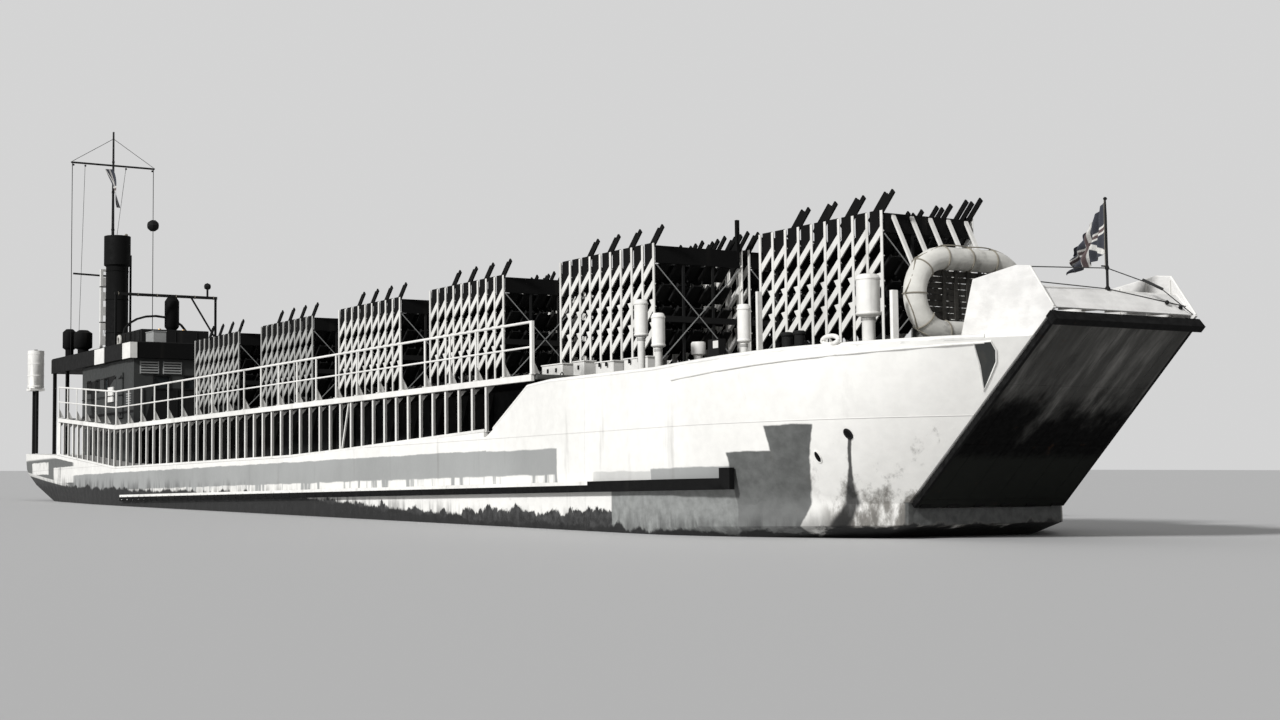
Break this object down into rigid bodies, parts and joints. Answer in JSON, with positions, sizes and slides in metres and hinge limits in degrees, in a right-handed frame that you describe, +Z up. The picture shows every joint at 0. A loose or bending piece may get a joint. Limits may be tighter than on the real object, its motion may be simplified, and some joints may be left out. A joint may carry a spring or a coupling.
{
  "type": "half-scale model of a military landing craft",
  "caption": "Flat-bottomed landing craft with a lowering bow ramp, a hollow tank hold, and empty tiered racks on a raised deck.",
  "frame": {"origin": "middle of the craft's length and beam on the plane of its flat bottom", "axes": "+X towards the bow, +Y to port, +Z up"},
  "size_m": [29.3034, 4.88, 8.8],
  "materials": {
    "hull_paint": "worn white paint with grey camouflage patches",
    "white_paint": "worn white paint",
    "rack_paint": "worn white paint over dark steel",
    "grey_paint": "matt grey paint",
    "dark_paint": "matt dark paint",
    "black_paint": "matt black paint",
    "deck_paint": "matt deck paint",
    "bronze": "cast bronze",
    "worn_steel": "weathered steel",
    "bunting": "woven bunting",
    "float_canvas": "painted canvas cover"
  },
  "bodies": {
    "hull": {"awning_frame": "dark_paint", "binnacle_drum": "black_paint", "bow_screen": "white_paint", "bridge": "dark_paint", "bridge_deck": "grey_paint", "cowl_aft": "black_paint", "cowl_fore": "black_paint", "deckhouse": "grey_paint", "ensign": "bunting", "flag_staff": "worn_steel", "funnel": "black_paint", "gallery_port": "white_paint", "gallery_starboard": "white_paint", "guard_rail_aft_port": "white_paint", "guard_rail_aft_starboard": "white_paint", "guard_rail_port": "white_paint", "guard_rail_starboard": "white_paint", "hold_coaming": "hull_paint", "hull": "hull_paint", "life_float": "float_canvas", "mast": "worn_steel", "perforated_post": "white_paint", "quarter_drum_port": "white_paint", "quarter_drum_starboard": "white_paint", "rack_a": "rack_paint", "rack_b_port": "rack_paint", "rack_b_starboard": "rack_paint", "rack_c_port": "rack_paint", "rack_c_starboard": "rack_paint", "rack_d_port": "rack_paint", "rack_d_starboard": "rack_paint", "rack_deck": "deck_paint", "rack_e_port": "rack_paint", "rack_e_starboard": "rack_paint", "rack_f_port": "rack_paint", "rack_f_starboard": "rack_paint", "rubbing_strake_port": "black_paint", "rubbing_strake_starboard": "black_paint", "shaft_bracket_port": "black_paint", "shaft_bracket_starboard": "black_paint", "stern_anchor": "black_paint", "ventilator_1_port": "white_paint", "ventilator_1_starboard": "white_paint", "ventilator_2_port": "white_paint", "ventilator_2_starboard": "white_paint", "ventilator_3_port": "white_paint", "ventilator_3_starboard": "white_paint", "ventilator_4_port": "white_paint", "ventilator_4_starboard": "white_paint", "winch_frame": "grey_paint"},
    "ramp": {"bow_ramp": "dark_paint"},
    "winch_drum": {"winch_drum": "worn_steel"},
    "propeller_starboard": {"propeller_starboard": "bronze"},
    "rudder_starboard": {"rudder_starboard": "black_paint"},
    "house_door_starboard": {"house_door_starboard": "grey_paint"},
    "propeller_port": {"propeller_port": "bronze"},
    "rudder_port": {"rudder_port": "black_paint"},
    "house_door_port": {"house_door_port": "grey_paint"}
  },
  "joints": [
    {"name": "ramp_hinge", "type": "hinge", "parent": "hull", "child": "ramp", "pos_m": [12.71061, 0, 0.75332], "axis": [0, 1, 0], "range_deg": [0, 56]},
    {"name": "winch_drum_spin", "type": "hinge", "parent": "hull", "child": "winch_drum", "pos_m": [-13.29923, 0, 2.35], "axis": [0, 1, 0], "continuous": true},
    {"name": "propeller_starboard_spin", "type": "hinge", "parent": "hull", "child": "propeller_starboard", "pos_m": [-12.49923, -1.075, 0.45], "axis": [1, 0, 0], "continuous": true},
    {"name": "rudder_starboard_turn", "type": "hinge", "parent": "hull", "child": "rudder_starboard", "pos_m": [-13.22423, -1.075, 0.5], "axis": [0, 0, 1], "range_deg": [-35, 35]},
    {"name": "house_door_starboard_hinge", "type": "hinge", "parent": "hull", "child": "house_door_starboard", "pos_m": [-9.58423, -1.5375, 2.95], "axis": [0, 0, 1], "range_deg": [0, 100]},
    {"name": "propeller_port_spin", "type": "hinge", "parent": "hull", "child": "propeller_port", "pos_m": [-12.49923, 1.075, 0.45], "axis": [1, 0, 0], "continuous": true},
    {"name": "rudder_port_turn", "type": "hinge", "parent": "hull", "child": "rudder_port", "pos_m": [-13.22423, 1.075, 0.5], "axis": [0, 0, 1], "range_deg": [-35, 35]},
    {"name": "house_door_port_hinge", "type": "hinge", "parent": "hull", "child": "house_door_port", "pos_m": [-9.58423, 1.5375, 2.95], "axis": [0, 0, -1], "range_deg": [0, 100]}
  ],
  "couplings": [
    {"joint": "rudder_starboard_turn", "follows": "rudder_port_turn", "ratio": 1}
  ]
}
